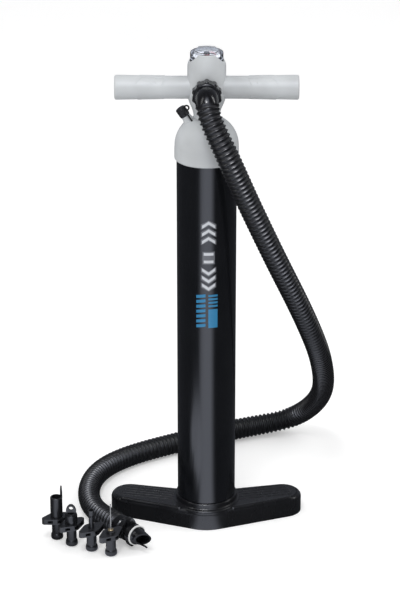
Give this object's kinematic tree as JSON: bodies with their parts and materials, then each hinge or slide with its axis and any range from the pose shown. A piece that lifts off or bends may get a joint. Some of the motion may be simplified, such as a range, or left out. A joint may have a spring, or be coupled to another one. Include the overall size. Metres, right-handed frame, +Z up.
{
  "type": "double action hand pump",
  "caption": "Upright double action hand pump: foot stand, barrel, T handle with pressure gauge, corrugated hose with bayonet nozzle, and loose valve adapters.",
  "frame": {"origin": "on the barrel's axis at the floor, on the underside of the foot stand's central boss", "axes": "+Z up along the barrel; -Y is the front, the side the hose leaves the handle on; +X is to the right seen from the front, along the T handle"},
  "size_m": [0.3387, 0.3353, 0.5605],
  "materials": {
    "black_plastic": "satin",
    "gloss_black_tube": "gloss",
    "light_grey_plastic": "satin",
    "white_plastic": "satin",
    "black_rubber": "matt",
    "white_rubber": "matt",
    "hose_black": "satin",
    "steel": "brushed",
    "rod_aluminium": "drawn",
    "brass": "drawn",
    "dial_white": "matt",
    "needle_red": "satin",
    "clear_plastic": "polished"
  },
  "bodies": {
    "pump_body": {"base_plate": "black_plastic", "base_screws": "steel", "barrel": "gloss_black_tube", "barrel_end_plug": "black_plastic", "end_plug_o_ring": "black_rubber", "foot_valve_retainer": "steel", "barrel_cap": "light_grey_plastic", "cap_o_ring": "black_rubber", "cap_valve_clip": "black_plastic", "rod_bush": "white_plastic", "rod_seal": "black_rubber", "seal_retainer": "black_plastic", "plug_tether": "black_rubber", "hose": "hose_black", "hose_end_cuff": "black_plastic"},
    "foot_valve": {"foot_valve_disc": "black_rubber"},
    "cap_valve": {"cap_valve_ring": "black_rubber"},
    "vent_plug": {"vent_plug": "black_rubber", "vent_plug_o_ring": "black_rubber"},
    "handle": {"handle_front_shell": "light_grey_plastic", "handle_rear_shell": "light_grey_plastic", "handle_screws": "steel", "handle_manifold": "black_plastic", "manifold_o_ring": "black_rubber", "rod_pin": "steel", "piston_rod": "rod_aluminium", "piston_lower": "black_plastic", "piston_upper": "black_plastic", "piston_seal": "black_rubber", "piston_screws": "steel", "gauge_case": "black_plastic", "gauge_dial": "dial_white", "gauge_lens": "clear_plastic", "bourdon_tube": "brass", "port_gasket": "black_rubber", "hose_elbow": "black_plastic"},
    "gauge_needle": {"gauge_needle": "needle_red"},
    "union_nut": {"union_nut": "black_plastic"},
    "piston_lower_valve": {"piston_lower_valve": "black_rubber"},
    "piston_upper_valve": {"piston_upper_valve": "black_rubber"},
    "nozzle": {"bayonet_nozzle": "black_plastic", "nozzle_gasket": "white_rubber"},
    "wide_tube_adapter": {"adapter_wide_tube": "black_plastic"},
    "bridge_tube_adapter": {"adapter_bridge_tube": "black_plastic"},
    "slim_cup_adapter": {"adapter_slim_cup": "black_plastic"},
    "needle_adapter": {"adapter_needle_holder": "black_plastic", "ball_needle": "steel"}
  },
  "joints": [
    {"name": "handle_stroke", "type": "slide", "parent": "pump_body", "child": "handle", "axis": [0, 0, 1], "range_m": [0, 0.36], "deforming": ["hose"]},
    {"name": "foot_valve_lift", "type": "slide", "parent": "pump_body", "child": "foot_valve", "axis": [0, 0, 1], "range_m": [0, 0.0015]},
    {"name": "cap_valve_drop", "type": "slide", "parent": "pump_body", "child": "cap_valve", "axis": [0, 0, -1], "range_m": [0, 0.0015]},
    {"name": "vent_plug_pull", "type": "slide", "parent": "pump_body", "child": "vent_plug", "axis": [-0.5664, 0, 0.8241], "range_m": [0, 0.007], "deforming": ["plug_tether"]},
    {"name": "piston_lower_valve_lift", "type": "slide", "parent": "handle", "child": "piston_lower_valve", "axis": [0, 0, 1], "range_m": [0, 0.0015]},
    {"name": "piston_upper_valve_drop", "type": "slide", "parent": "handle", "child": "piston_upper_valve", "axis": [0, 0, -1], "range_m": [0, 0.0015]},
    {"name": "gauge_needle_turn", "type": "hinge", "parent": "handle", "child": "gauge_needle", "pos_m": [0, 0, 0.556], "axis": [0, 0, -1], "range_deg": [0, 270]},
    {"name": "union_nut_turn", "type": "hinge", "parent": "handle", "child": "union_nut", "pos_m": [0, -0.028, 0.5193], "axis": [0, -1, 0], "continuous": true},
    {"name": "nozzle_twist", "type": "hinge", "parent": "pump_body", "child": "nozzle", "pos_m": [-0.088, -0.0732, 0.0178], "axis": [-0.6428, 0.766, 0], "range_deg": [0, 60]},
    {"name": "wide_tube_adapter_lift", "type": "slide", "parent": "pump_body", "child": "wide_tube_adapter", "axis": [0, 0, 1], "range_m": [0, 0.08]},
    {"name": "bridge_tube_adapter_lift", "type": "slide", "parent": "pump_body", "child": "bridge_tube_adapter", "axis": [0, 0, 1], "range_m": [0, 0.08]},
    {"name": "slim_cup_adapter_lift", "type": "slide", "parent": "pump_body", "child": "slim_cup_adapter", "axis": [0, 0, 1], "range_m": [0, 0.08]},
    {"name": "needle_adapter_lift", "type": "slide", "parent": "pump_body", "child": "needle_adapter", "axis": [0, 0, 1], "range_m": [0, 0.08]}
  ]
}
